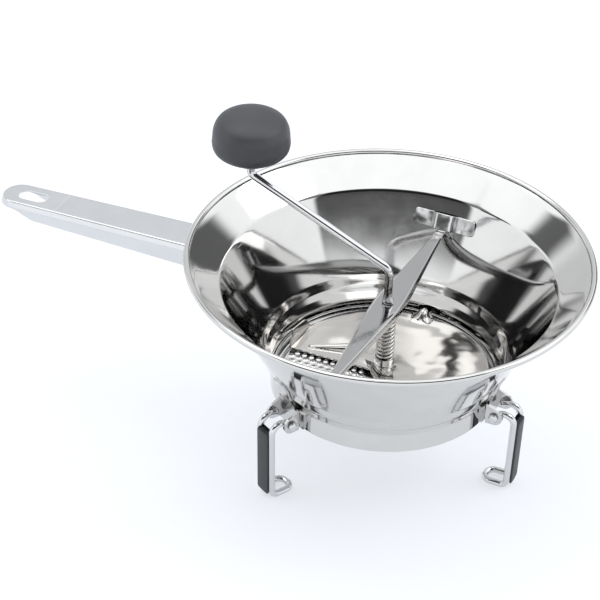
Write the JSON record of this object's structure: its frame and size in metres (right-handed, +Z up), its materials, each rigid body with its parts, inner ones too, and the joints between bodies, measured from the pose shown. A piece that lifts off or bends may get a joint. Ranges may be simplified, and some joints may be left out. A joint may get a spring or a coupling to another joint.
{
  "type": "food mill",
  "caption": "Stainless steel food mill: flared bowl with a channel handle, cranked blade on a sprung crossbar, perforated disc and folding wire legs.",
  "frame": {"origin": "centre of the discharge collar's mouth, on the crank axis", "axes": "+Z up along the crank axis, handle along -X, crossbar along Y"},
  "size_m": [0.38, 0.24, 0.2102],
  "materials": {
    "bowl_steel": "mirror-polished stainless steel",
    "handle_steel": "fine satin top, polished edges",
    "fitting_steel": "polished stainless steel",
    "disc_steel": "bright stainless steel",
    "crossbar_steel": "polished stainless steel",
    "spring_steel": "bright wire",
    "rod_steel": "polished wire",
    "blade_steel": "mirror-polished stainless steel",
    "knob_plastic": "soft matte black",
    "pad_rubber": "matte black"
  },
  "bodies": {
    "bowl": {"bowl_shell": "bowl_steel", "handle": "handle_steel", "crossbar_bracket_rear": "fitting_steel", "crossbar_bracket_front": "fitting_steel", "leg_bracket_1": "fitting_steel", "leg_bracket_2": "fitting_steel", "leg_bracket_3": "fitting_steel", "strainer_disc": "disc_steel"},
    "crossbar": {"crossbar": "crossbar_steel"},
    "spring_seat": {"spring_cup": "fitting_steel", "spring": "spring_steel"},
    "crank": {"crank_rod": "rod_steel", "blade_hub": "fitting_steel", "blade": "blade_steel"},
    "knob": {"crank_knob": "knob_plastic", "knob_cap": "knob_plastic"},
    "leg_1": {"leg_wire_1": "rod_steel", "leg_pad_1": "pad_rubber"},
    "leg_2": {"leg_wire_2": "rod_steel", "leg_pad_2": "pad_rubber"},
    "leg_3": {"leg_wire_3": "rod_steel", "leg_pad_3": "pad_rubber"}
  },
  "joints": [
    {"name": "crossbar_press", "type": "slide", "parent": "bowl", "child": "crossbar", "axis": [0, 0, 1], "range_m": [-0.004, 0], "stiffness_N_per_m": 2800, "springref_m": 0.008, "deforming": ["spring"]},
    {"name": "blade_lift", "type": "slide", "parent": "bowl", "child": "spring_seat", "axis": [0, 0, 1], "range_m": [0, 0.002], "stiffness_N_per_m": 2800, "springref_m": -0.008, "deforming": ["spring"]},
    {"name": "crank_spin", "type": "hinge", "parent": "spring_seat", "child": "crank", "pos_m": [0, 0, 0], "axis": [0, 0, 1], "continuous": true},
    {"name": "knob_spin", "type": "hinge", "parent": "crank", "child": "knob", "pos_m": [-0.09, 0, 0.135], "axis": [0, 0, 1], "continuous": true},
    {"name": "leg_fold_1", "type": "hinge", "parent": "bowl", "child": "leg_1", "pos_m": [0.074, 0, 0.0045], "axis": [0, -1, 0], "range_deg": [0, 80]},
    {"name": "leg_fold_2", "type": "hinge", "parent": "bowl", "child": "leg_2", "pos_m": [-0.037, 0.06409, 0.0045], "axis": [0.866, 0.5, 0], "range_deg": [0, 80]},
    {"name": "leg_fold_3", "type": "hinge", "parent": "bowl", "child": "leg_3", "pos_m": [-0.037, -0.06409, 0.0045], "axis": [-0.866, 0.5, 0], "range_deg": [0, 80]}
  ]
}
